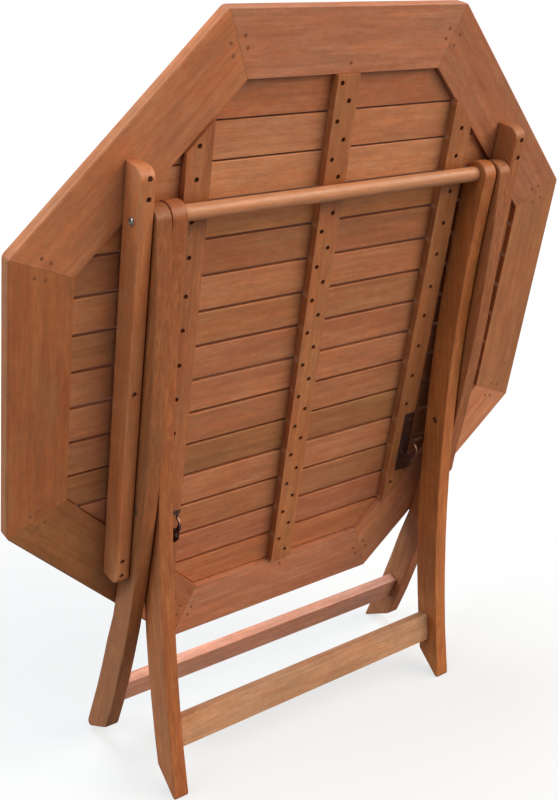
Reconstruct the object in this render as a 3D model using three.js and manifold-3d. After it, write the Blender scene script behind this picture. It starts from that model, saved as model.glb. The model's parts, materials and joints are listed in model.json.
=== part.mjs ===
// Folding octagonal garden table in oiled hardwood, folded flat and standing on its own feet.
// Units are millimetres, +Z up.  Inside the table's own frame x runs across the top (u), y runs along the
// top from the lower edge to the upper edge (v) and z comes straight out of the underside (n); the
// underside of the frame boards is z = 0.
import * as THREE from 'three';
import { mergeVertices } from 'three/addons/utils/BufferGeometryUtils.js';
import Module from 'manifold-3d';

const wasm = await Module();
wasm.setup();

// ---------------------------------------------------------------- driving dimensions
const GAP = 0.3;                 // clearance left between pieces that touch
const FLAT = 1005;               // octagon, across flats
const BOARD_W = 91.5;              // width of a frame board
const BOARD_T = 20;              // thickness of a frame board
const MITRE_GAP = 0.15;          // half of the open line of a mitre
const CORNER_R = 22;             // rounding of the outer corners of the octagon
const EDGE_R = 3.5;              // rounding of the outer edge of the frame

const SLAT_N = 15;
const SLAT_PITCH = 55;
// open lines between slats as fitted by hand, from the upper edge down to the lower frame board
const SLAT_GAPS = [1.2, 2.8, 3, 4.4, 4.2, 4.6, 5, 5, 5.6, 5, 4.2, 5.8, 5, 5.6, 5.6];
const SLAT_FOOT = 2.8;
const SLAT_Z0 = -20;             // top face of the table
const SLAT_Z1 = -8;              // underside of the slats, set back from the frame
const SLAT_END = 0.6;            // space at the ends of a slat

const BATTEN_W = 40;
const BATTEN_TOP = 5.5;
const BATTEN_U = 238;            // centre of a side batten
const HOLE_R = 3.9;              // counterbored screw holes
const HOLE_DEPTH = 5;
// where the screws were driven, as [u, v]: staggered pairs in the middle batten, one per slat in the others
const HOLES_MIDDLE_A = [399.2, 345.5, 290.7, 236, 182.7, 127.1, 72.6, 18.2, -36.8, -92.8, -147.6, -200.9, -256.7, -312, -367];
const HOLES_MIDDLE_B = [373.8, 318.6, 264.3, 209.8, 155.3, 100.4, 46, -8.6, -64.5, -118.7, -172.9, -230, -283.4, -338.9, -392.8];
const HOLES_RIGHT = [[238.5, 317.7], [237.4, 274.2], [239.4, 217.6], [238.6, 164.5], [237, 111.5], [237.2, 54.4], [235.6, 2.6], [235.6, -53.3], [234.6, -109.7], [233.4, -164.3], [230.5, -323.2]];
const HOLES_LEFT = [[-239.3, 329.7], [-240.2, 284.5], [-242.1, 227.1], [-241.8, 175], [-241.7, 117.6], [-242, 65.5], [-242.7, 10.7], [-242.8, -44.5], [-242.4, -101.6], [-242.6, -156], [-240.4, -322]];
const MIDDLE_U = -1.8;

const RAIL_U0 = 325;             // edge rails carrying the leg pivots
const RAIL_U1 = 346;
const RAIL_V = 320;
const RAIL_TOP = 42;
const RAIL_R = 17;
const RAIL_HOLES = {
  right: [[338, -302], [338.2, -276], [337.6, 4], [338.6, 273.8], [338.2, 301.6]],
  left: [[-338.4, -301.7], [-338.4, -275.6], [-336.3, 3.9], [-334, 280.2], [-333.4, 306.6]],
};

const LEG_W = 45;
const LEG_EDGE_R = 2;
const LEG_TOP = 20;              // reach of a leg past its upper pivot
const OUT_U0 = 299.8;            // outer legs
const OUT_U1 = 323.6;
const IN_U0 = 272.3;             // inner legs
const IN_U1 = 297;
const CHORD = 913.6;             // pivot centre to the middle of the foot
const SAG = 40;                  // bow of a leg
const X_AT = 433;                // scissor bolt, measured along the chord
const FLOOR_N = 724.5;           // ground level under the opened table
const OUT_TIP_R = { right: 2.5, left: 7 };   // rounding of the sharp corner of an outer foot
const OUT_HEEL_R = 14;           // rounding of the blunt corner of an outer foot
const IN_TIP_R = 5.5;            // the same for an inner foot
const IN_HEEL_R = 8;

const P0 = { v: 247.5, n: 24.5 };     // outer leg pivot
const D_N = 20;                       // height of the crossbar above the frame's underside
const D_OPEN_V = -247.5;              // crossbar position when it sits in the catches
const BAR_R = 11.5;
const OUT_CHORD_DEG = -3.03;          // lie of the outer leg's chord when folded

const STR_T = 18;                // stretchers
const STR_FRONT_H = 50;
const STR_REAR_H = 46;

const rad = (d) => (d * Math.PI) / 180;

// ---------------------------------------------------------------- colours
const WOOD = {
  frame: [0xa2643f, 0.62], slat: [0x9c5c39, 0.64], batten: [0xa3633d, 0.62], rail: [0x9f603c, 0.6],
  leg: [0xa8643a, 0.58], stretcher: [0xad6a40, 0.6], bar: [0xb4744c, 0.6],
};
const METAL = { zinc: [0xb9bcbd, 0.35, 0.9], dark: [0x2e2622, 0.5, 0.85] };
function woodMat(kind) {
  const [c, r] = WOOD[kind];
  const m = new THREE.MeshStandardMaterial({ color: c, roughness: r, metalness: 0 });
  m.name = kind + '_wood';
  return m;
}
function metalMat(kind) {
  const [c, r, k] = METAL[kind];
  const m = new THREE.MeshStandardMaterial({ color: c, roughness: r, metalness: k });
  m.name = kind + '_metal';
  return m;
}

// ---------------------------------------------------------------- solid helpers
function solid(geometry) {
  const g = geometry.index ? geometry.toNonIndexed() : geometry.clone();
  g.deleteAttribute('normal');
  if (g.getAttribute('uv')) g.deleteAttribute('uv');
  const m = mergeVertices(g, 1e-4);
  return new wasm.Manifold(new wasm.Mesh({
    numProp: 3,
    vertProperties: new Float32Array(m.getAttribute('position').array),
    triVerts: new Uint32Array(m.index.array),
  }));
}
function geometryOf(manifold) {
  const mesh = manifold.getMesh();
  const g = new THREE.BufferGeometry();
  const n = mesh.vertProperties.length / mesh.numProp;
  const p = new Float32Array(n * 3);
  for (let i = 0; i < n; i++) for (let k = 0; k < 3; k++) p[i * 3 + k] = mesh.vertProperties[i * mesh.numProp + k];
  g.setAttribute('position', new THREE.BufferAttribute(p, 3));
  g.setIndex(new THREE.BufferAttribute(new Uint32Array(mesh.triVerts), 1));
  const flat = g.toNonIndexed();
  flat.computeVertexNormals();
  return flat;
}
// outline given as [a, b] pairs, extruded along the third direction of the named plane
const PLANES = {
  vn: new THREE.Matrix4().makeBasis(new THREE.Vector3(0, 1, 0), new THREE.Vector3(0, 0, 1), new THREE.Vector3(1, 0, 0)),
  uv: new THREE.Matrix4().identity(),
};
function prism(points, from, to, plane, round = 0, steps = 2) {
  const area = points.reduce((s, p, i) => {
    const q = points[(i + 1) % points.length];
    return s + p[0] * q[1] - q[0] * p[1];
  }, 0);
  const pts = area < 0 ? points.slice().reverse() : points;
  const shape = new THREE.Shape(pts.map(([a, b]) => new THREE.Vector2(a, b)));
  const opts = round
    ? { depth: to - from - 2 * round, bevelEnabled: true, bevelSize: round, bevelThickness: round, bevelOffset: -round, bevelSegments: steps, curveSegments: 1 }
    : { depth: to - from, bevelEnabled: false, curveSegments: 1 };
  const g = new THREE.ExtrudeGeometry(shape, opts);
  g.translate(0, 0, from + round);
  g.applyMatrix4(PLANES[plane]);
  return g;
}
function rodAlongU(r, u0, u1, v, n, seg = 20) {
  const g = new THREE.CylinderGeometry(r, r, u1 - u0, seg);
  g.rotateZ(Math.PI / 2);
  g.translate((u0 + u1) / 2, v, n);
  return g;
}
function rodAlongN(r, u, v, n0, n1, seg = 12) {
  const g = new THREE.CylinderGeometry(r, r, n1 - n0, seg);
  g.rotateX(Math.PI / 2);
  g.translate(u, v, (n0 + n1) / 2);
  return g;
}
// profile of [distance along u, radius] pairs turned about an axis parallel to u; side = +1 or -1 turns it round
function turnedAlongU(profile, side, v, n, seg = 20) {
  const g = new THREE.LatheGeometry(profile.map(([a, r]) => new THREE.Vector2(r, a)), seg);
  g.rotateZ(-Math.PI / 2);
  if (side < 0) g.rotateZ(Math.PI);
  g.translate(0, v, n);
  return g;
}
function clip(points, f) {
  const out = [];
  for (let i = 0; i < points.length; i++) {
    const a = points[i];
    const b = points[(i + 1) % points.length];
    const fa = f(a);
    const fb = f(b);
    if (fa <= 0) out.push(a);
    if (fa * fb < 0) {
      const t = fa / (fa - fb);
      out.push([a[0] + (b[0] - a[0]) * t, a[1] + (b[1] - a[1]) * t]);
    }
  }
  return out;
}
function fillet(points, index, r, seg) {
  const n = points.length;
  const p = points[index];
  const a = points[(index + n - 1) % n];
  const b = points[(index + 1) % n];
  const ua = [a[0] - p[0], a[1] - p[1]];
  const ub = [b[0] - p[0], b[1] - p[1]];
  const la = Math.hypot(...ua);
  const lb = Math.hypot(...ub);
  const half = Math.acos((ua[0] * ub[0] + ua[1] * ub[1]) / (la * lb)) / 2;
  const back = r / Math.tan(half);
  const reach = r / Math.sin(half);
  const bis = [ua[0] / la + ub[0] / lb, ua[1] / la + ub[1] / lb];
  const lbis = Math.hypot(...bis);
  const c = [p[0] + (bis[0] / lbis) * reach, p[1] + (bis[1] / lbis) * reach];
  const s = [p[0] + (ua[0] / la) * back, p[1] + (ua[1] / la) * back];
  const e = [p[0] + (ub[0] / lb) * back, p[1] + (ub[1] / lb) * back];
  const a0 = Math.atan2(s[1] - c[1], s[0] - c[0]);
  let da = Math.atan2(e[1] - c[1], e[0] - c[0]) - a0;
  while (da > Math.PI) da -= 2 * Math.PI;
  while (da < -Math.PI) da += 2 * Math.PI;
  const arc = [];
  for (let i = 0; i <= seg; i++) arc.push([c[0] + r * Math.cos(a0 + (da * i) / seg), c[1] + r * Math.sin(a0 + (da * i) / seg)]);
  return [...points.slice(0, index), ...arc, ...points.slice(index + 1)];
}

// ---------------------------------------------------------------- mechanism
// directions inside the v-n plane are measured from -v towards +n
const polar = (len, deg) => [-len * Math.cos(rad(deg)), len * Math.sin(rad(deg))];
const angleOf = (dv, dn) => (Math.atan2(dn, -dv) * 180) / Math.PI;
function legPoint(p, chordDeg, bow, x) {
  const y = bow * (1 - ((x - CHORD / 2) / (CHORD / 2)) ** 2);
  const e = polar(1, chordDeg);
  const m = [Math.sin(rad(chordDeg)), Math.cos(rad(chordDeg))];
  return [p.v + e[0] * x + m[0] * y, p.n + e[1] * x + m[1] * y];
}
function between(table, x) {
  if (x <= table[0][0]) return table[0][1];
  for (let i = 1; i < table.length; i++) {
    if (x <= table[i][0]) {
      const f = (x - table[i - 1][0]) / (table[i][0] - table[i - 1][0]);
      const g = f * f * (3 - 2 * f);
      return table[i - 1][1] + (table[i][1] - table[i - 1][1]) * g;
    }
  }
  return table[table.length - 1][1];
}
const X0 = legPoint(P0, OUT_CHORD_DEG, SAG, X_AT);
const ARM = Math.hypot(X0[0] - P0.v, X0[1] - P0.n);
const D0 = { v: X0[0] + Math.sqrt(ARM ** 2 - (X0[1] - D_N) ** 2), n: D_N };
const ARM_DEG = (Math.atan2(legPoint({ v: 0, n: 0 }, 0, SAG, X_AT)[1], X_AT) * 180) / Math.PI;
const IN_CHORD_DEG = angleOf(X0[0] - D0.v, X0[1] - D0.n) + ARM_DEG;
const half = Math.hypot(P0.v - D_OPEN_V, P0.n - D_N) / 2;
const lift = Math.sqrt(ARM ** 2 - half ** 2);
const baseDeg = angleOf(D_OPEN_V - P0.v, D_N - P0.n);
const XO = [(P0.v + D_OPEN_V) / 2 + lift * Math.sin(rad(baseDeg)), (P0.n + D_N) / 2 + lift * Math.cos(rad(baseDeg))];
const OPEN_DEG = angleOf(XO[0] - P0.v, XO[1] - P0.n) - angleOf(X0[0] - P0.v, X0[1] - P0.n);
const INNER_DEG = angleOf(XO[0] - D_OPEN_V, XO[1] - D_N) - angleOf(X0[0] - D0.v, X0[1] - D0.n);

// extra: how much wider the leg is on the side towards the top; kick: how far its lower end bends towards the top
function legOutline(p, chordDeg, bow, turnDeg, tipR, heelR, extra, kick = 0, cut = 0) {
  const r = LEG_W / 2;
  const left = [];
  const right = [];
  const stops = [0, 70, 150, 240, 330, 420, 510, 600, 662, 720, 775, 835, CHORD + 90];
  for (const x of stops) {
    const a = legPoint(p, chordDeg, bow, x - 0.5);
    const b = legPoint(p, chordDeg, bow, x + 0.5);
    const l = Math.hypot(b[0] - a[0], b[1] - a[1]);
    const t = [(b[0] - a[0]) / l, (b[1] - a[1]) / l];
    const c = legPoint(p, chordDeg, bow, x);
    c[1] -= kick * Math.max(0, (x - 662) / (CHORD - 662));
    const wide = r + between(extra, x);
    left.push([c[0] - t[1] * wide, c[1] + t[0] * wide]);
    right.push([c[0] + t[1] * r, c[1] - t[0] * r]);
  }
  const top = [];
  const c0 = [p.v, p.n];
  const a0 = Math.atan2(right[0][1] - c0[1], right[0][0] - c0[0]);
  let a1 = Math.atan2(left[0][1] - c0[1], left[0][0] - c0[0]);
  const back = legPoint(p, chordDeg, bow, -10);
  const want = Math.atan2(back[1] - c0[1], back[0] - c0[0]);
  let span = a1 - a0;
  while (span <= -Math.PI) span += 2 * Math.PI;
  while (span > Math.PI) span -= 2 * Math.PI;
  const mid = a0 + span / 2;
  if (Math.cos(mid - want) < 0) span += span > 0 ? -2 * Math.PI : 2 * Math.PI;
  const up = [Math.cos(want), Math.sin(want)];
  for (let i = 1; i < 10; i++) {
    const w = [r * Math.cos(a0 + (span * i) / 10), r * Math.sin(a0 + (span * i) / 10)];
    const along = w[0] * up[0] + w[1] * up[1];
    const less = along * (1 - LEG_TOP / r);
    top.push([c0[0] + w[0] - up[0] * less, c0[1] + w[1] - up[1] * less]);
  }
  let pts = [...left, ...right.slice().reverse(), ...top];
  // the sole is level when the table stands open
  const level = ([v, n]) => {
    const a = -(v - p.v);
    const b = n - p.n;
    return p.n + a * Math.sin(rad(turnDeg)) + b * Math.cos(rad(turnDeg)) - (FLOOR_N - cut);
  };
  pts = clip(pts, level);
  const onSole = pts.map((q, i) => [Math.abs(level(q)), i]).filter(([d]) => d < 1e-6).map(([, i]) => i);
  const angleAt = (i) => {
    const n = pts.length;
    const q = pts[i];
    const a = pts[(i + n - 1) % n];
    const b = pts[(i + 1) % n];
    const ua = [a[0] - q[0], a[1] - q[1]];
    const ub = [b[0] - q[0], b[1] - q[1]];
    return Math.acos((ua[0] * ub[0] + ua[1] * ub[1]) / (Math.hypot(...ua) * Math.hypot(...ub)));
  };
  for (const i of onSole.sort((a, b) => b - a)) pts = fillet(pts, i, angleAt(i) < Math.PI / 2 ? tipR : heelR, 4);
  return pts;
}
// the two outer legs differ a little at their lower ends, as hand-finished ones do
const OUT_OUTLINE = legOutline(P0, OUT_CHORD_DEG, SAG, OPEN_DEG, OUT_TIP_R.right, OUT_HEEL_R, [[662, 0], [720, 4], [1100, 4]]);
const OUT_OUTLINE_LEFT = legOutline(P0, OUT_CHORD_DEG, SAG, OPEN_DEG, OUT_TIP_R.left, OUT_HEEL_R, [[662, 0], [720, 4], [835, 5], [1100, 6]], 2.5, 3.6);
const IN_OUTLINE = legOutline(D0, IN_CHORD_DEG, -SAG, INNER_DEG, IN_TIP_R, IN_HEEL_R, [[430, 0], [600, 4.5], [690, 4.5], [835, 2], [1100, 1]]);

// ---------------------------------------------------------------- collecting the pieces
const table = new THREE.Group();
table.name = 'folding_table';
const assemblies = {};
function assembly(name) {
  if (!assemblies[name]) {
    assemblies[name] = new THREE.Group();
    assemblies[name].name = name;
    table.add(assemblies[name]);
  }
  return assemblies[name];
}
function piece(name, geometry, material, group, at = [0, 0, 0]) {
  const g = geometry.index ? geometry.toNonIndexed() : geometry;
  g.deleteAttribute('normal');
  g.computeVertexNormals();
  g.translate(-at[0], -at[1], -at[2]);
  const mesh = new THREE.Mesh(g, material);
  mesh.name = name;
  mesh.position.set(...at);
  assembly(group).add(mesh);
  return mesh;
}

// ---------------------------------------------------------------- eight mitred frame boards
{
  const r1 = FLAT / 2;
  const r0 = r1 - BOARD_W;
  const z0 = -BOARD_T;
  const z1 = 0;
  const k = Math.tan(Math.PI / 8);
  const section = [[r0, z0], [r1 - EDGE_R, z0]];
  for (const s of [22.5, 45, 67.5, 90]) section.push([r1 - EDGE_R + EDGE_R * Math.sin(rad(s)), z0 + EDGE_R - EDGE_R * Math.cos(rad(s))]);
  for (const s of [90, 67.5, 45, 22.5, 0]) section.push([r1 - EDGE_R + EDGE_R * Math.sin(rad(s)), z1 - EDGE_R + EDGE_R * Math.cos(rad(s))]);
  section.push([r0, z1]);
  // rounded octagon used to round the outer corners
  let oct = [];
  for (let i = 0; i < 8; i++) oct.push([(r1 / Math.cos(Math.PI / 8)) * Math.cos(rad(22.5 + 45 * i)), (r1 / Math.cos(Math.PI / 8)) * Math.sin(rad(22.5 + 45 * i))]);
  for (let i = 7; i >= 0; i--) oct = fillet(oct, i, CORNER_R, 6);
  const rounder = solid(prism(oct, z0 - 5, z1 + 5, 'uv'));
  const names = ['right', 'upper_right', 'upper', 'upper_left', 'left', 'lower_left', 'lower', 'lower_right'];
  for (let i = 0; i < 8; i++) {
    const th = rad(45 * i);
    const d = [Math.cos(th), Math.sin(th)];
    const s = [-Math.sin(th), Math.cos(th)];
    const pos = [];
    const at = (q, side) => {
      const along = side * (q[0] * k - MITRE_GAP / Math.cos(Math.PI / 8));
      return [d[0] * q[0] + s[0] * along, d[1] * q[0] + s[1] * along, q[1]];
    };
    const n = section.length;
    for (let j = 0; j < n; j++) {
      const a = section[j];
      const b = section[(j + 1) % n];
      pos.push(...at(a, -1), ...at(a, 1), ...at(b, 1));
      pos.push(...at(a, -1), ...at(b, 1), ...at(b, -1));
    }
    for (let j = 1; j < n - 1; j++) {
      pos.push(...at(section[0], -1), ...at(section[j], -1), ...at(section[j + 1], -1));
      pos.push(...at(section[0], 1), ...at(section[j + 1], 1), ...at(section[j], 1));
    }
    let g = new THREE.BufferGeometry();
    g.setAttribute('position', new THREE.Float32BufferAttribute(pos, 3));
    let m = solid(g);
    if (m.volume() < 0) throw new Error('board turned inside out');
    m = m.intersect(rounder);
    const c = [d[0] * (r1 - BOARD_W / 2), d[1] * (r1 - BOARD_W / 2), -BOARD_T / 2];
    piece('frame_board_' + names[i], geometryOf(m), woodMat('frame'), 'top', c);
  }
}

// ---------------------------------------------------------------- fifteen slats, mitred where they meet a diagonal board
const IN_FLAT = FLAT / 2 - BOARD_W;
const DIAG = IN_FLAT * Math.SQRT2;
{
  for (let i = 0; i < SLAT_N; i++) {
    const line = (SLAT_N / 2 - i) * SLAT_PITCH;
    const vHi = i === 0 ? IN_FLAT - SLAT_GAPS[0] : line - SLAT_GAPS[i] / 2;
    const vLo = i === SLAT_N - 1 ? SLAT_FOOT - IN_FLAT : line - SLAT_PITCH + SLAT_GAPS[i + 1] / 2;
    const vc = (vHi + vLo) / 2;
    let pts = [[-500, vLo], [500, vLo], [500, vHi], [-500, vHi]];
    pts = clip(pts, ([u]) => u - (IN_FLAT - SLAT_END));
    pts = clip(pts, ([u]) => -u - (IN_FLAT - SLAT_END));
    for (const [a, b] of [[1, 1], [1, -1], [-1, 1], [-1, -1]]) pts = clip(pts, ([u, v]) => (a * u + b * v) - (DIAG - SLAT_END * Math.SQRT2));
    piece('slat_' + String(i + 1).padStart(2, '0'), prism(pts, SLAT_Z0, SLAT_Z1, 'uv'), woodMat('slat'), 'top', [0, vc, (SLAT_Z0 + SLAT_Z1) / 2]);
  }
}

// ---------------------------------------------------------------- battens under the slats
{
  const z0 = SLAT_Z1 + GAP;
  const build = (name, uc, holes) => {
    const lim = IN_FLAT - GAP;
    let pts = [[uc - BATTEN_W / 2, -lim], [uc + BATTEN_W / 2, -lim], [uc + BATTEN_W / 2, lim], [uc - BATTEN_W / 2, lim]];
    for (const [a, b] of [[1, 1], [1, -1], [-1, 1], [-1, -1]]) pts = clip(pts, ([u, v]) => (a * u + b * v) - (DIAG - GAP * Math.SQRT2));
    let m = solid(prism(pts, z0, BATTEN_TOP, 'uv'));
    for (const [u, v] of holes) m = m.subtract(solid(rodAlongN(HOLE_R, u, v, BATTEN_TOP - HOLE_DEPTH, BATTEN_TOP + 3, 10)));
    piece(name, geometryOf(m), woodMat('batten'), 'top', [uc, 0, (z0 + BATTEN_TOP) / 2]);
  };
  build('batten_middle', MIDDLE_U, [...HOLES_MIDDLE_A.map((v, i) => [i < 10 ? -12.9 : -11.4, v]), ...HOLES_MIDDLE_B.map((v, i) => [i < 9 ? 3.2 : 4.1, v])]);
  build('batten_right', BATTEN_U, HOLES_RIGHT);
  build('batten_left', -BATTEN_U, HOLES_LEFT);
}

// ---------------------------------------------------------------- edge rails
{
  for (const [side, tag] of [[1, 'right'], [-1, 'left']]) {
    let pts = [[-RAIL_V, GAP], [RAIL_V, GAP], [RAIL_V, RAIL_TOP], [-RAIL_V, RAIL_TOP]];
    pts = fillet(pts, 3, RAIL_R, 6);
    pts = fillet(pts, 2, RAIL_R, 6);
    const u0 = side > 0 ? RAIL_U0 : -RAIL_U1;
    const u1 = side > 0 ? RAIL_U1 : -RAIL_U0;
    let m = solid(prism(pts, u0, u1, 'vn', 1.5, 1));
    for (const [hu, v] of RAIL_HOLES[tag]) m = m.subtract(solid(rodAlongN(HOLE_R, hu, v, RAIL_TOP - HOLE_DEPTH, RAIL_TOP + 3, 12)));
    m = m.subtract(solid(rodAlongU(4.4, u0 - 2, u1 + 2, P0.v, P0.n, 20)));
    piece('rail_' + tag, geometryOf(m), woodMat('rail'), 'top', [(u0 + u1) / 2, 0, RAIL_TOP / 2]);
  }
}

// ---------------------------------------------------------------- outer legs, their stretcher and the rail pivots
const mm = (side, a, b) => (side > 0 ? [a, b] : [-b, -a]);
for (const [side, tag] of [[1, 'right'], [-1, 'left']]) {
  const [a, b] = mm(side, OUT_U0, OUT_U1);
  let m = solid(prism(side > 0 ? OUT_OUTLINE : OUT_OUTLINE_LEFT, a, b, 'vn', LEG_EDGE_R, 2));
  m = m.subtract(solid(rodAlongU(4.4, a - 2, b + 2, P0.v, P0.n, 20)));
  const [c0, c1] = mm(side, OUT_U0 - 2, OUT_U0 + 6.5);
  m = m.subtract(solid(rodAlongU(8.5, c0, c1, P0.v, P0.n, 20)));
  m = m.subtract(solid(rodAlongU(5.4, a - 2, b + 2, X0[0], X0[1], 20)));
  piece('outer_leg_' + tag, geometryOf(m), woodMat('leg'), 'outer_frame', [(a + b) / 2, P0.v, P0.n]);

  // pivot bolt: socket head outside the rail, shank through rail, washer and leg
  piece('rail_bolt_' + tag, turnedAlongU([[300.9, 0], [300.9, 3.3], [301.6, 4], [346.3, 4], [346.3, 5.9], [347.3, 5.8], [348.5, 5], [349.1, 4], [349.1, 3.1], [347.2, 2.8], [347.2, 0]], side, P0.v, P0.n, 18), metalMat('zinc'), 'top', [side * 325, P0.v, P0.n]);
  // washer between rail and leg
  {
    const [w0, w1] = mm(side, 323.85, 324.75);
    const w = solid(rodAlongU(11, w0, w1, P0.v, P0.n, 24)).subtract(solid(rodAlongU(4.4, w0 - 1, w1 + 1, P0.v, P0.n, 20)));
    piece('rail_washer_' + tag, geometryOf(w), metalMat('zinc'), 'top', [(w0 + w1) / 2, P0.v, P0.n]);
  }
  // nut sunk into the inner face of the leg
  {
    const [w0, w1] = mm(side, 300.5, 305.9);
    const w = solid(rodAlongU(7.4, w0, w1, P0.v, P0.n, 6)).subtract(solid(rodAlongU(4.3, w0 - 1, w1 + 1, P0.v, P0.n, 20)));
    piece('rail_nut_' + tag, geometryOf(w), metalMat('zinc'), 'top', [(w0 + w1) / 2, P0.v, P0.n]);
  }
  // sleeve half of the scissor pivot, carried by the outer leg
  piece('scissor_sleeve_' + tag, turnedAlongU([[299.9, 0], [299.9, 4.2], [300.7, 5], [323.85, 5], [323.85, 8.6], [324.3, 8.4], [324.7, 7.2], [324.7, 0]], side, X0[0], X0[1], 18), metalMat('zinc'), 'outer_frame', [side * 312, X0[0], X0[1]]);
}

// board of a stretcher: h along the leg, t across it; front = distance of its front face from the leg's centre line
function stretcher(name, p, chordDeg, bow, x, h, front, u, group, kind, skew = [0, 0, 0, 0]) {
  const a = legPoint(p, chordDeg, bow, x - 5);
  const b = legPoint(p, chordDeg, bow, x + 5);
  const l = Math.hypot(b[0] - a[0], b[1] - a[1]);
  const e = [(b[0] - a[0]) / l, (b[1] - a[1]) / l];
  const m = [e[1], -e[0]];
  const s = m[1] < 0 ? [-m[0], -m[1]] : m;
  const c = legPoint(p, chordDeg, bow, x);
  const pt = (al, ac) => [c[0] + e[0] * al + s[0] * ac, c[1] + e[1] * al + s[1] * ac];
  const pts = [pt(-h / 2, front - STR_T), pt(h / 2, front - STR_T), pt(h / 2, front), pt(-h / 2, front)];
  // skew: how far the left and the right end sit off, along the top and out of it
  const g = prism(pts, -u, u, 'vn', 1.8, 2);
  const at = g.attributes.position;
  for (let i = 0; i < at.count; i++) {
    const f = (at.getX(i) + u) / (2 * u);
    at.setY(i, at.getY(i) + skew[0] + (skew[2] - skew[0]) * f);
    at.setZ(i, at.getZ(i) + skew[1] + (skew[3] - skew[1]) * f);
  }
  piece(name, g, woodMat(kind), group, [0, c[0], c[1]]);
}
stretcher('stretcher_rear', P0, OUT_CHORD_DEG, SAG, 837.5, STR_REAR_H, 8, OUT_U0 - GAP, 'outer_frame', 'stretcher', [4.5, -2.5, 1.5, 0]);

// ---------------------------------------------------------------- inner legs, their stretcher and the crossbar
for (const [side, tag] of [[1, 'right'], [-1, 'left']]) {
  const [a, b] = mm(side, IN_U0, IN_U1);
  let m = solid(prism(IN_OUTLINE, a, b, 'vn', LEG_EDGE_R, 2));
  const [h0, h1] = mm(side, IN_U0 - 2, IN_U0 + 14);
  m = m.subtract(solid(rodAlongU(BAR_R + 0.4, h0, h1, D0.v, D0.n, 28)));
  m = m.subtract(solid(rodAlongU(4.4, a - 2, b + 2, X0[0], X0[1], 20)));
  const [c0, c1] = mm(side, IN_U0 - 2, IN_U0 + 7.5);
  m = m.subtract(solid(rodAlongU(6, c0, c1, X0[0], X0[1], 20)));
  piece('inner_leg_' + tag, geometryOf(m), woodMat('leg'), 'inner_frame', [(a + b) / 2, D0.v, D0.n]);

  // bolt half of the scissor pivot, carried by the inner leg, head sunk into its inner face
  piece('scissor_bolt_' + tag, turnedAlongU([[275.4, 0], [275.4, 3.8], [276.2, 5.2], [279.5, 5.2], [279.5, 4], [296.9, 4], [296.9, 0]], side, X0[0], X0[1], 18), metalMat('zinc'), 'inner_frame', [side * 283, X0[0], X0[1]]);
  {
    const [w0, w1] = mm(side, 297.3, 299.5);
    piece('scissor_washer_' + tag, rodAlongU(12, w0, w1, X0[0], X0[1], 24), metalMat('zinc'), 'inner_frame', [(w0 + w1) / 2, X0[0], X0[1]]);
  }
}
stretcher('stretcher_front', D0, IN_CHORD_DEG, -SAG, 834, STR_FRONT_H, 3, IN_U0 - GAP, 'inner_frame', 'stretcher');
{
  const L = IN_U0 + 13;
  const prof = [[-L, 0], [-L, BAR_R - 1], [-L + 1, BAR_R], [L - 1, BAR_R], [L, BAR_R - 1], [L, 0]];
  piece('crossbar', turnedAlongU(prof, 1, D0.v, D0.n, 28), woodMat('bar'), 'crossbar_slide', [0, D0.v, D0.n]);
}

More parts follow.
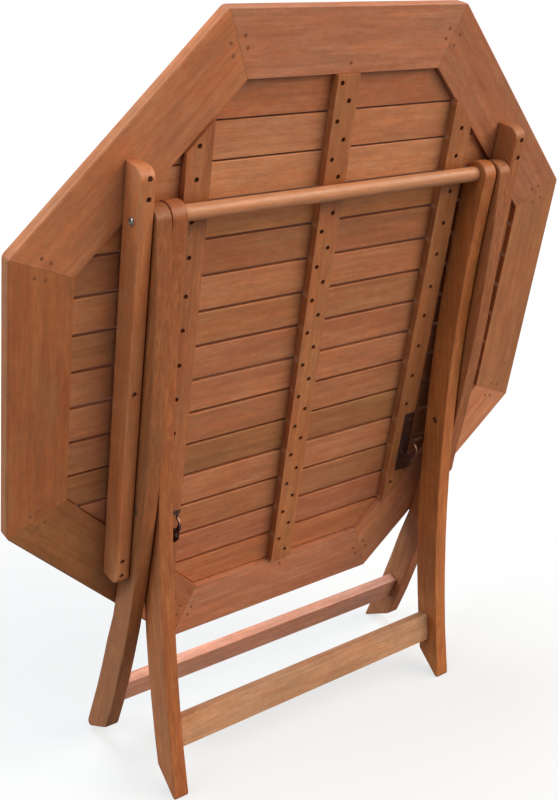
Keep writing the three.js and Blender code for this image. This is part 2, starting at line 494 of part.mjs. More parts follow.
// ---------------------------------------------------------------- catches that hold the crossbar when the table is open
const HOOK = { v: D_OPEN_V - 17, n: D_N + 11, raise: 26 };
for (const [side, tag, off] of [[1, 'right', 0], [-1, 'left', 2.5]]) {
  const z = BATTEN_TOP + GAP;
  // upright with a round mouth open towards the upper edge, and the foot screwed to the batten
  let up = [[-284, z], [-234, z], [-235.5, 7.6]];
  for (let i = 0; i <= 12; i++) {
    const t = rad(-90 - 15 * i);
    up.push([D_OPEN_V + (BAR_R + 0.8) * Math.cos(t), D_N + (BAR_R + 0.8) * Math.sin(t)]);
  }
  up.push([-245.5, 34.4], [-252, 37.4], [-271, 37.6], [-283, 28]);
  const [u0, u1] = mm(side, 236 + off, 238 + off);
  const [f0, f1] = mm(side, 235.6 + off, 257.2 + off);
  let m = solid(prism(up, u0, u1, 'vn'));
  const foot = [[f0, -300], [f1, -300], [f1, -185], [f0, -185]];
  m = m.add(solid(prism(foot, z, z + 1.2, 'uv')));
  const pin = [side * (240 + off), HOOK.v, HOOK.n];
  m = m.subtract(solid(rodAlongU(2.3, 232 * side - 9, 232 * side + 9, HOOK.v, HOOK.n, 14)));
  piece('catch_plate_' + tag, geometryOf(m), metalMat('dark'), 'top', [side * (245 + off), D_OPEN_V, z]);

  // hook: a curved finger that closes over the crossbar, standing lifted
  const inner = BAR_R + 0.8;
  const outer = BAR_R + 4.5;
  const band = [];
  for (let i = 0; i <= 10; i++) {
    const t = rad(-8 + 14.4 * i);
    band.push([D_OPEN_V + outer * Math.cos(t), D_N + outer * Math.sin(t)]);
  }
  for (let i = 10; i >= 0; i--) {
    const t = rad(-8 + 14.4 * i);
    band.push([D_OPEN_V + inner * Math.cos(t), D_N + inner * Math.sin(t)]);
  }
  const [k0, k1] = mm(side, 238.8 + off, 241.8 + off);
  let hook = solid(prism(band, k0, k1, 'vn'));
  hook = hook.add(solid(rodAlongU(5.8, k0, k1, HOOK.v, HOOK.n, 18)));
  // neck between the finger and the eye
  const toEye = [HOOK.v - D_OPEN_V, HOOK.n - D_N];
  const reach = Math.hypot(...toEye);
  const dir = [toEye[0] / reach, toEye[1] / reach];
  const across = [-dir[1], dir[0]];
  const neck = [[13.2, -5.2], [reach, -5.4], [reach, 5.4], [13.2, 5.2]].map(([r, w]) => [D_OPEN_V + dir[0] * r + across[0] * w, D_N + dir[1] * r + across[1] * w]);
  hook = hook.add(solid(prism(neck, k0, k1, 'vn')));
  // tip of the finger and the thumb lip bent across it
  const tip = [[-235.1, 18.6], [-231.7, 19.6], [-221.4, 14.1], [-222, 12.7], [-229.2, 15.4], [-235.1, 17.2]];
  hook = hook.add(solid(prism(tip, k0, k1, 'vn')));
  const lip = [[-228.6, 15.2], [-222, 12.7], [-221.4, 14.1], [-228, 16.8]];
  const [l0, l1] = mm(side, 236 + off, 258 + off);
  hook = hook.add(solid(prism(lip, l0, l1, 'vn')));
  hook = hook.subtract(solid(rodAlongU(2.5, k0 - 2, k1 + 2, HOOK.v, HOOK.n, 14)));
  const hg = geometryOf(hook);
  hg.translate(0, -HOOK.v, -HOOK.n);
  hg.rotateX(rad(HOOK.raise));
  hg.translate(0, HOOK.v, HOOK.n);
  piece('catch_hook_' + tag, hg, metalMat('zinc'), 'hook_' + tag, pin);

  // pin the hook turns on
  piece('catch_pin_' + tag, turnedAlongU([[235.4, 0], [235.4, 2], [242.3, 2], [242.3, 3.8], [243.2, 3.8], [243.2, 0]].map(([a, r]) => [a + off, r]), side, HOOK.v, HOOK.n, 14), metalMat('zinc'), 'top', pin);
}

// ---------------------------------------------------------------- stand the folded table on its four feet
const lowest = (pts, t) => Math.min(...pts.map(([v, n]) => v * Math.cos(t) - n * Math.sin(t)));
let lo = -0.3;
let hi = 0.5;
for (let i = 0; i < 60; i++) {
  const t = (lo + hi) / 2;
  if (lowest(IN_OUTLINE, t) > lowest(OUT_OUTLINE, t)) lo = t;
  else hi = t;
}
const LEAN = (lo + hi) / 2;
table.rotation.x = Math.PI / 2 + LEAN;
table.updateMatrixWorld(true);
const box = new THREE.Box3().setFromObject(table, true);
table.position.set(-(box.min.x + box.max.x) / 2, -(box.min.y + box.max.y) / 2, -box.min.z);
table.updateMatrixWorld(true);
table.userData = { P0, D0, X0, XO, LEAN, OPEN_DEG, INNER_DEG, HOOK, D_OPEN_V };

const root = new THREE.Group();
root.name = 'garden_table';
root.add(table);
root.updateMatrixWorld(true);

export default root;
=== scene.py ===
# Folding octagonal garden table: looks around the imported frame.
import json
import math
import random

import bmesh
import bpy
from mathutils import Matrix, Vector


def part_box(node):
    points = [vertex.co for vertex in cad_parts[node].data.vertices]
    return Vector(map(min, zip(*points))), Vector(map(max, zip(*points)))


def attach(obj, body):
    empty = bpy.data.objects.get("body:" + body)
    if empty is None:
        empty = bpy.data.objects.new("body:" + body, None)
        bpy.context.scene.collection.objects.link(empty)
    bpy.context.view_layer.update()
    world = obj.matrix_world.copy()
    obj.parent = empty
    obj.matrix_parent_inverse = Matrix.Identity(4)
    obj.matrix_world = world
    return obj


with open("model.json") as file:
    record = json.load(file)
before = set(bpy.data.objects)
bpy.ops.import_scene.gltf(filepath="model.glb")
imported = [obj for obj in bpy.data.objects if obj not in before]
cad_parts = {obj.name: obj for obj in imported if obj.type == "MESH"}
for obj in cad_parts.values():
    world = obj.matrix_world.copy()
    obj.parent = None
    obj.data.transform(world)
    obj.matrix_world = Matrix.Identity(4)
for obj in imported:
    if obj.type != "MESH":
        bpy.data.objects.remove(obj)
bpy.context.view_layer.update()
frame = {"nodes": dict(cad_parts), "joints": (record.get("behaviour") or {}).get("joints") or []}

NODES = frame["nodes"]
JOINTS = {j["name"]: j for j in frame["joints"]}
scene = bpy.context.scene

# ------------------------------------------------------------------ the table's own directions
# u across the top, v along the top towards the upper edge, n out of the underside; the underside of the frame is n = 0
U = Vector((1, 0, 0))
V = -Vector(JOINTS["crossbar_travel"]["axis"]).normalized()
N = U.cross(V)
ORIGIN = Vector(JOINTS["outer_legs_fold"]["pos_m"]) - 0.2475 * V - 0.0245 * N


def at(u, v, n):
    """A point of the table's own frame, given in millimetres, in the row frame."""
    return ORIGIN + (U * u + V * v + N * n) / 1000


def local(p):
    """The reverse of at()."""
    d = Vector(p) - ORIGIN
    return d.dot(U) * 1000, d.dot(V) * 1000, d.dot(N) * 1000


def way(u, v, n):
    return (U * u + V * v + N * n).normalized()


# ------------------------------------------------------------------ camera
cam_data = bpy.data.cameras.new("camera")
cam = bpy.data.objects.new("camera", cam_data)
scene.collection.objects.link(cam)
right = way(0.7975241, 0.1163479, 0.5919616)
down = way(-0.2046816, -0.8708434, 0.4469197)
ahead = way(0.567504, -0.4775929, -0.6707043)
basis = Matrix((right, -down, -ahead)).transposed().to_4x4()
cam.matrix_world = Matrix.Translation(at(-1079.079, 777.333, 1224.611)) @ basis
cam_data.sensor_width = 36
cam_data.lens = 1171.912 * 36 / 800
cam_data.shift_x = -1.91 / 800
cam_data.shift_y = 0.3 / 800
cam_data.clip_start = 0.05
cam_data.clip_end = 400
scene.camera = cam

# ------------------------------------------------------------------ light, floor and surroundings
scene.view_settings.view_transform = "Standard"
scene.view_settings.look = "None"

world = bpy.data.worlds.new("studio")
scene.world = world
world.use_nodes = True
wt = world.node_tree
wt.nodes.clear()
w_out = wt.nodes.new("ShaderNodeOutputWorld")
w_bg = wt.nodes.new("ShaderNodeBackground")
w_co = wt.nodes.new("ShaderNodeTexCoord")
w_sep = wt.nodes.new("ShaderNodeSeparateXYZ")
w_abs = wt.nodes.new("ShaderNodeMath")
w_abs.operation = "ABSOLUTE"
w_map = wt.nodes.new("ShaderNodeMapRange")
w_map.interpolation_type = "SMOOTHSTEP"
# pale near the horizon, dimmer overhead
for k, x in enumerate((0.02, 0.30, 0.42, 0.12)):
    w_map.inputs[k + 1].default_value = x
wt.links.new(w_co.outputs["Generated"], w_sep.inputs[0])
wt.links.new(w_sep.outputs[2], w_abs.inputs[0])
wt.links.new(w_abs.outputs[0], w_map.inputs[0])
wt.links.new(w_map.outputs[0], w_bg.inputs["Strength"])
w_bg.inputs["Color"].default_value = (1, 0.99, 0.975, 1)
wt.links.new(w_bg.outputs[0], w_out.inputs["Surface"])


# the lights stand around the table, so they lean with it
LEAN = Matrix.Rotation(math.atan2(-N.z, -N.y) - 0.0741, 3, "X")


def soft_sun(name, azimuth, elevation, energy, colour, spread):
    """Azimuth 0 is straight in front of the underside, growing to the right."""
    data = bpy.data.lights.new(name, "SUN")
    data.energy = energy
    data.angle = math.radians(spread)
    data.color = colour
    o = bpy.data.objects.new(name, data)
    scene.collection.objects.link(o)
    a, e = math.radians(azimuth), math.radians(elevation)
    d = LEAN @ Vector((math.sin(a) * math.cos(e), -math.cos(a) * math.cos(e), math.sin(e)))
    o.rotation_mode = "QUATERNION"
    o.rotation_quaternion = d.to_track_quat("Z", "Y")
    o.location = d * 5
    return o


soft_sun("key", 60, 36, 2.15, (1, 0.82, 0.72), 36)
soft_sun("front", 28, 36, 1.30, (1, 0.90, 0.60), 40)
soft_sun("front_high", 0, 60, 0.80, (0.90, 0.95, 1), 40)
soft_sun("left_high", -90, 42, 1.65, (0.90, 0.95, 1), 40)
soft_sun("left_low", -116, 12, 1.90, (0.74, 0.94, 1), 34)
soft_sun("back_high", 178, 68, 1.70, (0.78, 0.90, 1), 30)

bm = bmesh.new()
bmesh.ops.create_grid(bm, x_segments=8, y_segments=8, size=90)
me = bpy.data.meshes.new("floor")
bm.to_mesh(me)
bm.free()
floor = bpy.data.objects.new("floor", me)
scene.collection.objects.link(floor)
fm = bpy.data.materials.new("floor")
fm.use_nodes = True
fb = fm.node_tree.nodes["Principled BSDF"]
fb.inputs["Base Color"].default_value = (0.21, 0.21, 0.21, 1)
fb.inputs["Roughness"].default_value = 0.9
fb.inputs["Specular IOR Level"].default_value = 0.05
# a lit studio floor, evenly bright
fb.inputs["Emission Color"].default_value = (1, 1, 1, 1)
fb.inputs["Emission Strength"].default_value = 0.64
me.materials.append(fm)
# the glow of the floor is its own: it doesn't light the table from below
glow = bpy.data.collections.new("floor_glow")
glow.objects.link(floor)
floor.light_linking.receiver_collection = glow


# ------------------------------------------------------------------ node helpers
class Tree:
    def __init__(self, name):
        self.mat = bpy.data.materials.new(name)
        self.mat.use_nodes = True
        self.t = self.mat.node_tree
        self.t.nodes.clear()
        self.out = self.t.nodes.new("ShaderNodeOutputMaterial")
        self.bsdf = self.t.nodes.new("ShaderNodeBsdfPrincipled")
        self.t.links.new(self.bsdf.outputs[0], self.out.inputs["Surface"])

    def new(self, kind, **props):
        n = self.t.nodes.new("ShaderNode" + kind)
        for k, v in props.items():
            setattr(n, k, v)
        return n

    def put(self, socket, value):
        if value is None:
            return
        if isinstance(value, bpy.types.NodeSocket):
            self.t.links.new(value, socket)
        elif isinstance(value, (tuple, list, Vector)) and hasattr(socket.default_value, "__len__"):
            v = list(value)
            if len(socket.default_value) == 4 and len(v) == 3:
                v.append(1)
            socket.default_value = v
        else:
            socket.default_value = value

    def math(self, op, a, b=None, c=None, clamp=False):
        n = self.new("Math", operation=op, use_clamp=clamp)
        for s, v in zip(n.inputs, (a, b, c)):
            self.put(s, v)
        return n.outputs[0]

    def vmath(self, op, a, b=None):
        n = self.new("VectorMath", operation=op)
        self.put(n.inputs[0], a)
        self.put(n.inputs[1], b)
        return n.outputs["Value"] if op in ("DOT_PRODUCT", "LENGTH") else n.outputs[0]

    def mix(self, factor, a, b, blend="MIX"):
        n = self.new("Mix", data_type="RGBA", blend_type=blend)
        n.clamp_factor = True
        self.put(n.inputs[0], factor)
        self.put(n.inputs[6], a)
        self.put(n.inputs[7], b)
        return n.outputs[2]

    def step(self, x, lo, hi, out_lo=0.0, out_hi=1.0):
        n = self.new("MapRange", interpolation_type="SMOOTHSTEP")
        for s, v in zip(n.inputs, (x, lo, hi, out_lo, out_hi)):
            self.put(s, v)
        return n.outputs[0]

    def noise(self, vector, scale, detail=3.0, rough=0.5, distortion=0.0):
        n = self.new("TexNoise")
        self.put(n.inputs["Vector"], vector)
        n.inputs["Scale"].default_value = scale
        n.inputs["Detail"].default_value = detail
        n.inputs["Roughness"].default_value = rough
        n.inputs["Distortion"].default_value = distortion
        return n.outputs[0]

    def bump(self, height, strength, distance, normal=None):
        n = self.new("Bump")
        n.inputs["Strength"].default_value = strength
        n.inputs["Distance"].default_value = distance
        self.put(n.inputs["Height"], height)
        self.put(n.inputs["Normal"], normal)
        return n.outputs[0]


def scaled(c, f):
    return tuple(max(0.0, min(1.0, a * b)) for a, b in zip(c, f))


# ------------------------------------------------------------------ wood
def wood(name, base, grain, face, seed, tint=(1, 1, 1), streak=1.0, cloudy=1.0, fine=1.0, hues=1.0, painted_crevice_shade=0.7, rough=0.50, edge_wear_and_sheen=1.0, painted_shade_drift=None):
    """Oiled hardwood. grain is the direction of the fibres and face the normal of the board's wide face, both in the row frame."""
    rnd = random.Random(seed)
    t = Tree(name)
    base = scaled(base, tint)
    g = Vector(grain).normalized()
    f = Vector(face).normalized()
    f = (f - g * f.dot(g)).normalized()
    c = f.cross(g)
    turn = Matrix((g, c, f)).to_euler("XYZ")
    co = t.new("TexCoord")
    m = t.new("Mapping", vector_type="POINT")
    t.put(m.inputs["Vector"], co.outputs["Object"])
    m.inputs["Rotation"].default_value = turn
    m.inputs["Location"].default_value = (rnd.uniform(-9, 9), rnd.uniform(-9, 9), rnd.uniform(-9, 9))
    p = m.outputs[0]

    def stretch(x, y, z):
        n = t.new("Mapping", vector_type="POINT")
        t.put(n.inputs["Vector"], p)
        n.inputs["Scale"].default_value = (x, y, z)
        return n.outputs[0]

    # slow waviness of the fibres
    slow = t.noise(stretch(2.2, 5.5, 5.5), 1.0, 2.0, 0.5)
    wave = t.math("MULTIPLY_ADD", slow, 0.055, -0.0275)
    # growth rings, cut nearly flat: distance from a pith line below the face
    sep = t.new("SeparateXYZ")
    t.put(sep.inputs[0], m.outputs[0])
    y0 = m.inputs["Location"].default_value[1] + rnd.uniform(-0.05, 0.05)
    z0 = m.inputs["Location"].default_value[2] - rnd.uniform(0.05, 0.12)
    ly = t.math("SUBTRACT", sep.outputs[1], y0)
    lz = t.math("SUBTRACT", sep.outputs[2], z0)
    r2 = t.math("ADD", t.math("POWER", ly, 2.0), t.math("POWER", lz, 2.0))
    r = t.math("ADD", t.math("SQRT", r2), wave)
    rings = t.noise(combine(t, t.math("MULTIPLY", sep.outputs[0], 0.55), r, 0.0), 95.0 * rnd.uniform(0.8, 1.2), 3.0, 0.62)
    rings = t.step(rings, 0.34, 0.68)
    # streaks, fibres, pores and short dark flecks
    band = t.noise(stretch(5, 90, 90), 1.0, 2.0, 0.8)
    fibre = t.noise(stretch(11, 330, 330), 1.0, 4.0, 0.70)
    pore = t.noise(stretch(55, 1500, 1500), 1.0, 1.0, 0.5)
    pore = t.step(pore, 0.62, 0.74)
    fleck = t.step(t.noise(stretch(60, 210, 210), 1.0, 2.0, 0.6), 0.66, 0.78)
    # clouds of lightness and of hue, longer along the grain
    cloud = t.noise(stretch(7, 22, 22), 1.0, 5.0, 0.92)
    hue = t.noise(t.vmath("ADD", stretch(6, 24, 24), (3.7, 9.1, 5.3)), 1.0, 5.0, 0.95)

    dark = scaled(base, (0.70, 0.62, 0.55))
    k = 1.15 * cloudy
    col = t.mix(cloud, scaled(base, (1 - k / 2, 1 - k / 2, 1 - k / 2)), scaled(base, (1 + k / 2, 1 + k / 2, 1 + k / 2)))
    hue = t.math("MULTIPLY_ADD", hue, 1.45 * hues, 0.5 - 0.725 * hues, clamp=True)
    col = t.mix(1.0, col, t.mix(hue, (1.08, 0.70, 0.42), (0.92, 1.30, 1.58)), "MULTIPLY")
    col = t.mix(1.0, col, t.mix(band, (1 - 0.34 * streak, 1 - 0.42 * streak, 1 - 0.48 * streak), (1 + 0.34 * streak, 1 + 0.42 * streak, 1 + 0.48 * streak)), "MULTIPLY")
    col = t.mix(t.math("MULTIPLY", rings, 0.24 * streak), col, dark)
    col = t.mix(t.step(fibre, 0.42, 0.72, 0.0, 0.42 * streak * fine), col, dark)
    col = t.mix(t.math("MULTIPLY", pore, 0.30 * fine), col, scaled(base, (0.42, 0.36, 0.32)))
    col = t.mix(t.math("MULTIPLY", fleck, 0.45), col, scaled(base, (0.50, 0.42, 0.38)))

    # painted light and shade: along the grain the colour steps to a lighter, paler tone, so one end of the board stays
    # darker as if shaded by the legs
    if painted_shade_drift:
        way_along = t.math("SUBTRACT", sep.outputs[0], m.inputs["Location"].default_value[0])
        col = t.mix(t.step(way_along, painted_shade_drift[0], painted_shade_drift[1]), col, t.mix(1.0, col, painted_shade_drift[2], "MULTIPLY"))

    # painted shade: where ambient occlusion finds narrow places (slat gaps, corners, beside legs and rails) the colour
    # is darkened towards a warm dark brown, standing in for contact shadow
    ao = t.new("AmbientOcclusion", samples=6)
    ao.inputs["Distance"].default_value = 0.045
    ao_shade_mask = t.step(ao.outputs["AO"], 0.55, 0.12)
    col = t.mix(t.math("MULTIPLY", ao_shade_mask, painted_crevice_shade), col, scaled(base, (0.60, 0.31, 0.15)))

    # sawn ends are darker and matt
    along = t.vmath("DOT_PRODUCT", co.outputs["Normal"], tuple(g))
    ends = t.step(t.math("ABSOLUTE", along), 0.55, 0.9)
    spots = t.noise(p, 260.0, 2.0, 0.6)
    col = t.mix(t.math("MULTIPLY", ends, 0.45), col, t.mix(t.step(spots, 0.35, 0.7), scaled(base, (0.86, 0.80, 0.76)), scaled(base, (0.52, 0.46, 0.42))))

    # lighter rubbed edges: partly worn finish, partly a painted highlight along the arrises
    if edge_wear_and_sheen:
        bev = t.new("Bevel", samples=4)
        bev.inputs["Radius"].default_value = 0.0016
        geo = t.new("NewGeometry")
        flat = t.vmath("DOT_PRODUCT", bev.outputs[0], geo.outputs["Normal"])
        rub = t.noise(stretch(30, 30, 30), 1.0, 2.0, 0.6)
        edge = t.math("MULTIPLY", t.step(flat, 0.97, 0.80), t.step(rub, 0.30, 0.62, 0.25, 1.0))
        col = t.mix(t.math("MULTIPLY", edge, 0.40 * edge_wear_and_sheen), col, scaled(base, (1.28, 1.36, 1.46)))

    t.put(t.bsdf.inputs["Base Color"], col)
    ro = t.math("ADD", t.math("MULTIPLY", t.noise(stretch(6, 60, 60), 1.0, 3.0, 0.6), 0.22), rough - 0.11)
    ro = t.math("ADD", ro, t.math("MULTIPLY", ends, 0.14))
    t.put(t.bsdf.inputs["Roughness"], ro)
    t.bsdf.inputs["Specular IOR Level"].default_value = 0.42
    h = t.math("ADD", t.math("MULTIPLY", fibre, 0.6), t.math("MULTIPLY", pore, -0.5))
    h = t.math("ADD", h, t.math("MULTIPLY", rings, 0.35))
    t.put(t.bsdf.inputs["Normal"], t.bump(h, 0.28, 0.00035))
    return t.mat


def combine(t, x, y, z):
    n = t.new("CombineXYZ")
    for s, v in zip(n.inputs, (x, y, z)):
        t.put(s, v)
    return n.outputs[0]


# ------------------------------------------------------------------ metal
def zinc(name, seed, base=(0.50, 0.505, 0.51), rough=0.34):
    rnd = random.Random(seed)
    t = Tree(name)
    co = t.new("TexCoord")
    m = t.new("Mapping", vector_type="POINT")
    t.put(m.inputs["Vector"], co.outputs["Object"])
    m.inputs["Location"].default_value = [rnd.uniform(-5, 5) for _ in range(3)]
    big = t.noise(m.outputs[0], 120.0, 3.0, 0.6)
    fine = t.noise(m.outputs[0], 900.0, 2.0, 0.6)
    col = t.mix(t.step(big, 0.38, 0.66), scaled(base, (0.80, 0.79, 0.76)), base)
    col = t.mix(t.step(fine, 0.60, 0.78, 0.0, 0.45), col, (0.30, 0.27, 0.23))
    t.put(t.bsdf.inputs["Base Color"], col)
    t.bsdf.inputs["Metallic"].default_value = 1.0
    t.put(t.bsdf.inputs["Roughness"], t.math("ADD", t.math("MULTIPLY", big, 0.26), rough - 0.13))
    t.put(t.bsdf.inputs["Normal"], t.bump(fine, 0.18, 0.0001))
    return t.mat


def lacquered(name, seed, base=(0.028, 0.020, 0.016)):
    rnd = random.Random(seed)
    t = Tree(name)
    co = t.new("TexCoord")
    m = t.new("Mapping", vector_type="POINT")
    t.put(m.inputs["Vector"], co.outputs["Object"])
    m.inputs["Location"].default_value = [rnd.uniform(-5, 5) for _ in range(3)]
    big = t.noise(m.outputs[0], 90.0, 3.0, 0.6)
    fine = t.noise(m.outputs[0], 1100.0, 2.0, 0.6)
    col = t.mix(t.step(big, 0.35, 0.7), base, scaled(base, (1.7, 1.6, 1.5)))
    bev = t.new("Bevel", samples=4)
    bev.inputs["Radius"].default_value = 0.0006
    geo = t.new("NewGeometry")
    flat = t.vmath("DOT_PRODUCT", bev.outputs[0], geo.outputs["Normal"])
    edge = t.math("MULTIPLY", t.step(flat, 0.96, 0.80), t.step(big, 0.40, 0.62, 0.2, 1.0))
    col = t.mix(edge, col, (0.42, 0.40, 0.38))
    t.put(t.bsdf.inputs["Base Color"], col)
    t.put(t.bsdf.inputs["Metallic"], t.math("MULTIPLY_ADD", edge, 0.55, 0.4))
    t.put(t.bsdf.inputs["Roughness"], t.math("MULTIPLY_ADD", big, 0.25, 0.30))
    t.put(t.bsdf.inputs["Normal"], t.bump(fine, 0.15, 0.0001))
    return t.mat


# ------------------------------------------------------------------ how the solids are shaded and their edges eased
def dress(o, mat, ease=0.0, segments=2, limit=50, smooth=50):
    me = o.data
    a = me.attributes.get("custom_normal")
    if a:
        me.attributes.remove(a)
    me.polygons.foreach_set("use_smooth", [True] * len(me.polygons))
    if not ease:
        # edges sharper than the limit stay sharp; faces meet by position, since each triangle has its own corners
        me.calc_loop_triangles()
        where = {}
        key = [tuple(round(x * 1e6) for x in v.co) for v in me.vertices]
        for poly in me.polygons:
            vs = list(poly.vertices)
            for i in range(len(vs)):
                k = frozenset((key[vs[i]], key[vs[(i + 1) % len(vs)]]))
                where.setdefault(k, []).append(poly.normal.copy())
        flags = []
        for e in me.edges:
            ns = where.get(frozenset((key[e.vertices[0]], key[e.vertices[1]])), [])
            flags.append(len(ns) == 2 and ns[0].angle(ns[1], 0) > math.radians(smooth))
        at_ = me.attributes.get("sharp_edge") or me.attributes.new("sharp_edge", "BOOLEAN", "EDGE")
        at_.data.foreach_set("value", flags)
    w = o.modifiers.new("weld", "WELD")
    w.merge_threshold = 2e-6
    if ease:
        b = o.modifiers.new("ease", "BEVEL")
        b.limit_method = "ANGLE"
        b.angle_limit = math.radians(limit)
        b.width = ease
        b.segments = segments
        b.profile = 0.5
        b.use_clamp_overlap = True
    n = o.modifiers.new("normals", "WEIGHTED_NORMAL")
    n.mode = "FACE_AREA"
    n.weight = 50
    n.keep_sharp = True
    me.materials.clear()
    me.materials.append(mat)


# base colours, linear; the per-piece factors on them are partly each piece's own tone and partly painted light and
# shade: pieces on the left and lower left darker as if shaded, the stretchers, crossbar and upper and lower boards
# paler and bluer as if catching a sheen from above, slat_03 lightened against the crossbar's shadow
TONE_AND_PAINTED_LIGHT = {
    "batten_left": (0.87, 0.83, 0.76), "batten_middle": (0.97, 0.92, 0.80), "batten_right": (0.89, 0.87, 0.75),
    "crossbar": (1.15, 1.34, 1.57), "frame_board_left": (0.80, 0.70, 0.54), "frame_board_lower": (1.15, 1.20, 1.57),
    "frame_board_lower_left": (0.69, 0.68, 0.51), "frame_board_lower_right": (1.33, 1.35, 1.57), "frame_board_right": (0.94, 0.98, 0.91),
    "frame_board_upper": (1.09, 1.10, 1.34), "frame_board_upper_left": (1.08, 1.03, 1.04), "frame_board_upper_right": (0.96, 0.94, 1.04),
    "inner_leg_left": (0.85, 0.73, 0.54), "inner_leg_right": (1.00, 0.87, 0.55), "outer_leg_left": (0.71, 0.65, 0.48),
    "outer_leg_right": (0.81, 0.73, 0.60), "rail_left": (1.10, 1.00, 0.87), "rail_right": (0.85, 0.79, 0.62),
    "slat_01": (1.01, 0.91, 0.92), "slat_02": (1.19, 1.25, 1.39), "slat_03": (1.32, 1.48, 1.73),
    "slat_04": (1.12, 1.13, 0.93), "slat_05": (0.91, 0.88, 0.86), "slat_06": (1.10, 1.11, 1.15),
    "slat_07": (0.95, 0.98, 0.96), "slat_08": (0.99, 0.98, 1.05), "slat_09": (1.06, 1.05, 1.12),
    "slat_10": (0.93, 0.94, 0.99), "slat_11": (0.81, 0.86, 0.78), "slat_12": (1.05, 1.06, 1.15),
    "slat_13": (0.92, 0.93, 0.95), "slat_14": (0.97, 0.89, 1.03), "slat_15": (1.09, 0.98, 1.00),
    "stretcher_front": (1.19, 1.70, 2.38), "stretcher_rear": (1.50, 1.92, 3.35),
}
C_FRAME = (0.388, 0.143, 0.0575)
C_SLAT = (0.388, 0.143, 0.0575)
C_BATTEN = (0.388, 0.143, 0.0575)
C_RAIL = (0.388, 0.143, 0.0575)
C_LEG = (0.388, 0.143, 0.0575)
C_STR = (0.388, 0.143, 0.0575)
C_BAR = (0.388, 0.143, 0.0575)

BOARD_TURN = {"right": 0, "upper_right": 45, "upper": 90, "upper_left": 135, "left": 180, "lower_left": 225, "lower": 270, "lower_right": 315}
seed = 11
for tag, deg in BOARD_TURN.items():
    a = math.radians(deg)
    seed += 7
    g = way(-math.sin(a), math.cos(a), 0)
    painted_shade_drift = None
    # painted light on the lower-left board: lighter and paler past the legs, darker on the side they shade
    if tag == "lower_left":
        to_board = NODES["frame_board_" + tag].matrix_world.inverted()
        painted_shade_drift = [(to_board @ Vector(at(u, -710 - u, 0))).dot(Vector(g).normalized()) for u in (-330, -250)] + [(1.36, 1.29, 1.76)]
    dress(NODES["frame_board_" + tag], wood("wood_board_" + tag, C_FRAME, g, N, seed, TONE_AND_PAINTED_LIGHT["frame_board_" + tag], painted_crevice_shade=0.5, painted_shade_drift=painted_shade_drift), ease=0.0006)
for i in range(1, 16):
    seed += 7
    dress(NODES["slat_%02d" % i], wood("wood_slat_%02d" % i, C_SLAT, U, N, seed, TONE_AND_PAINTED_LIGHT["slat_%02d" % i], painted_crevice_shade=0.75), ease=0.0012)
for tag in ("middle", "right", "left"):
    seed += 7
    dress(NODES["batten_" + tag], wood("wood_batten_" + tag, C_BATTEN, V, N, seed, TONE_AND_PAINTED_LIGHT["batten_" + tag], streak=1.2, fine=1.4, hues=1.1), ease=0.0009)
for tag in ("right", "left"):
    seed += 7
    dress(NODES["rail_" + tag], wood("wood_rail_" + tag, C_RAIL, V, U, seed, TONE_AND_PAINTED_LIGHT["rail_" + tag], streak=0.6, fine=1.8, hues=1.2), ease=0.0005)
    for frame_name in ("outer", "inner"):
        seed += 7
        node = frame_name + "_leg_" + tag
        lo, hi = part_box(node)
        _, v0, n0 = local(((lo.x + hi.x) / 2, hi.y if frame_name == "inner" else lo.y, hi.z))
        _, v1, n1 = local(((lo.x + hi.x) / 2, lo.y if frame_name == "inner" else hi.y, lo.z))
        dress(NODES[node], wood("wood_" + node, C_LEG, way(0, v1 - v0, n1 - n0), U, seed, TONE_AND_PAINTED_LIGHT[node], streak=1.45, fine=1.8, hues=1.1), ease=0.0004)
for tag in ("front", "rear"):
    seed += 7
    dress(NODES["stretcher_" + tag], wood("wood_stretcher_" + tag, C_STR, U, N, seed, TONE_AND_PAINTED_LIGHT["stretcher_" + tag], streak=1.2, fine=1.4, hues=1.1), ease=0.0004)
seed += 7
dress(NODES["crossbar"], wood("wood_crossbar", C_BAR, U, N, seed, TONE_AND_PAINTED_LIGHT["crossbar"], streak=0.75, cloudy=0.9, hues=0.8, painted_crevice_shade=0.5, rough=0.44))

M_DARK = lacquered("lacquered_steel", 5, base=(0.045, 0.018, 0.014))
M_HOOK = zinc("browned_steel", 9, base=(0.20, 0.115, 0.10), rough=0.46)
M_BOLT = zinc("worn_zinc", 13, base=(0.40, 0.38, 0.33), rough=0.36)
M_PIVOT = zinc("tarnished_steel", 17, base=(0.26, 0.19, 0.145), rough=0.46)
for tag in ("right", "left"):
    for n in ("rail_bolt_", "rail_washer_", "rail_nut_"):
        dress(NODES[n + tag], M_BOLT, ease=0.0002, limit=50)
    for n in ("scissor_bolt_", "scissor_washer_", "scissor_sleeve_", "catch_pin_"):
        dress(NODES[n + tag], M_PIVOT, ease=0.0002, limit=50)
    dress(NODES["catch_hook_" + tag], M_HOOK, ease=0.0004, limit=40)
    dress(NODES["catch_plate_" + tag], M_DARK, ease=0.0003, limit=40)


# ------------------------------------------------------------------ wood screws sunk in battens and rails
def object_of(name, bm, mat, body, smooth=40):
    me = bpy.data.meshes.new(name)
    bmesh.ops.recalc_face_normals(bm, faces=bm.faces)
    for f in bm.faces:
        f.smooth = True
    for e in bm.edges:
        if len(e.link_faces) == 2 and e.calc_face_angle(0) > math.radians(smooth):
            e.smooth = False
    bm.to_mesh(me)
    bm.free()
    me.materials.append(mat)
    o = bpy.data.objects.new(name, me)
    scene.collection.objects.link(o)
    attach(o, body)
    return o


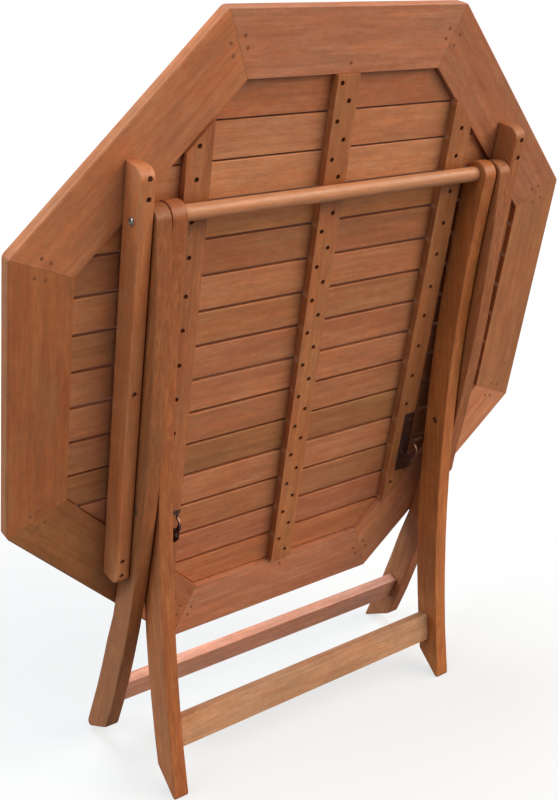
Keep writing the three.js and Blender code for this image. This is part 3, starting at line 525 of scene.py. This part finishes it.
def screw(bm, centre, out, across, r=3.1, rise=1.3, depth=2.6, turn=0.0):
    """A countersunk screw head with a cross recess. centre is the middle of its top, in metres; sizes in millimetres."""
    out = out.normalized()
    x = (across - out * across.dot(out)).normalized()
    y = out.cross(x)
    ca, sa = math.cos(turn), math.sin(turn)
    x, y = x * ca + y * sa, y * ca - x * sa

    def p(a, b, c):
        return bm.verts.new(centre + (x * a + y * b + out * c) / 1000)

    seg = 24
    rim = [p(r * math.cos(2 * math.pi * i / seg), r * math.sin(2 * math.pi * i / seg), -0.25) for i in range(seg)]
    top = [p(0.9 * r * math.cos(2 * math.pi * i / seg), 0.9 * r * math.sin(2 * math.pi * i / seg), 0) for i in range(seg)]
    low = [p(0.45 * r * math.cos(2 * math.pi * i / seg), 0.45 * r * math.sin(2 * math.pi * i / seg), -depth) for i in range(seg)]
    for i in range(seg):
        j = (i + 1) % seg
        bm.faces.new((rim[i], rim[j], top[j], top[i]))
        bm.faces.new((low[i], low[j], rim[j], rim[i]))
    bm.faces.new(list(reversed(low)))
    # the cross: arm half width w, reach e
    w, e = 0.42, 0.62 * r
    outline = [(e, -w), (e, w), (w, w), (w, e), (-w, e), (-w, w), (-e, w), (-e, -w), (-w, -w), (-w, -e), (w, -e), (w, -w)]
    cross = [p(a, b, 0) for a, b in outline]
    bottom = [p(a * 0.55, b * 0.55, -1.2) for a, b in outline]
    k = len(cross)
    for i in range(k):
        j = (i + 1) % k
        bm.faces.new((cross[i], cross[j], bottom[j], bottom[i]))
    bm.faces.new(bottom)
    edges = [bm.edges.get((top[i], top[(i + 1) % seg])) for i in range(seg)]
    edges += [bm.edges.get((cross[i], cross[(i + 1) % k])) for i in range(k)]
    bmesh.ops.triangle_fill(bm, edges=edges, use_beauty=True, use_dissolve=False)


M_SCREW = zinc("screw_steel", 21, base=(0.24, 0.125, 0.075), rough=0.50)
rnd = random.Random(4)
HOLES_MIDDLE_A = [399.2, 345.5, 290.7, 236, 182.7, 127.1, 72.6, 18.2, -36.8, -92.8, -147.6, -200.9, -256.7, -312, -367]
HOLES_MIDDLE_B = [373.8, 318.6, 264.3, 209.8, 155.3, 100.4, 46, -8.6, -64.5, -118.7, -172.9, -230, -283.4, -338.9, -392.8]
HOLES_RIGHT = [[238.5, 317.7], [237.4, 274.2], [239.4, 217.6], [238.6, 164.5], [237, 111.5], [237.2, 54.4], [235.6, 2.6], [235.6, -53.3], [234.6, -109.7], [233.4, -164.3], [230.5, -323.2]]
HOLES_LEFT = [[-239.3, 329.7], [-240.2, 284.5], [-242.1, 227.1], [-241.8, 175], [-241.7, 117.6], [-242, 65.5], [-242.7, 10.7], [-242.8, -44.5], [-242.4, -101.6], [-242.6, -156], [-240.4, -322]]
HOLES_RAIL = [[338, -302], [338.2, -276], [337.6, 4], [338.6, 273.8], [338.2, 301.6], [-338.4, -301.7], [-338.4, -275.6], [-336.3, 3.9], [-334, 280.2], [-333.4, 306.6]]
bm = bmesh.new()
spots = [(-12.9 if i < 10 else -11.4, v) for i, v in enumerate(HOLES_MIDDLE_A)]
spots += [(3.2 if i < 9 else 4.1, v) for i, v in enumerate(HOLES_MIDDLE_B)]
for u, v in spots + HOLES_RIGHT + HOLES_LEFT:
    screw(bm, at(u, v, 2.2), N, U, r=3.5, turn=rnd.uniform(0, 1.57))
object_of("batten_screws", bm, M_SCREW, "top")
bm = bmesh.new()
for u, v in HOLES_RAIL:
    screw(bm, at(u, v, 38.7), N, U, r=3.5, turn=rnd.uniform(0, 1.57))
object_of("rail_screws", bm, M_SCREW, "top")
bm = bmesh.new()
for side in (-1, 1):
    for u, v in ((247, -196), (247, -220), (247, -292)):
        u += 2.5 if side < 0 else 0
        screw(bm, at(side * u, v, 7.9), N, U, r=3.3, depth=0.9, turn=rnd.uniform(0, 1.57))
object_of("catch_screws", bm, M_SCREW, "top")


# ------------------------------------------------------------------ wooden plugs in the mitres, over the middle batten and in the legs
def plug(bm, centre, out, r=2.6, rise=0.22, oval=1.0, across=None):
    out = out.normalized()
    x = across if across is not None else out.orthogonal()
    x = (x - out * x.dot(out)).normalized()
    y = out.cross(x)
    seg = 20
    rings = []
    for rr, hh in ((r, -0.5), (r, rise * 0.45), (r * 0.93, rise * 0.85), (r * 0.80, rise), (r * 0.4, rise * 1.05)):
        rings.append([bm.verts.new(centre + (x * rr * oval * math.cos(2 * math.pi * i / seg) + y * rr * math.sin(2 * math.pi * i / seg) + out * hh) / 1000) for i in range(seg)])
    for a, b in zip(rings, rings[1:]):
        for i in range(seg):
            j = (i + 1) % seg
            bm.faces.new((a[i], a[j], b[j], b[i]))
    bm.faces.new(rings[-1])
    bm.faces.new(list(reversed(rings[0])))


M_PLUG = wood("wood_plug", (0.235, 0.080, 0.034), N, U, 77, edge_wear_and_sheen=0)
bm = bmesh.new()
for k in range(8):
    a = math.radians(22.5 + 45 * k)
    for along in (42, 57):
        for across in (-12, 12):
            d = 541.2 - along
            u = d * math.cos(a) - across * math.sin(a) + rnd.uniform(-1.5, 1.5)
            v = d * math.sin(a) + across * math.cos(a) + rnd.uniform(-1.5, 1.5)
            plug(bm, at(u, v, 0), N, r=2.7)
for v in (425, -425):
    plug(bm, at(2, v, 0), N, r=2.7)
object_of("frame_plugs", bm, M_PLUG, "top")
# over the dowels of the stretchers
for name, body, u, v, n in (("outer_leg_plugs", "outer_frame", 323.6, -590, -12), ("inner_leg_plugs", "inner_frame", 297, -571.7, 123.5)):
    bm = bmesh.new()
    for side in (-1, 1):
        plug(bm, at(side * u, v, n), U * side, r=3.8, rise=0.2)
    object_of(name, bm, M_PLUG, body)
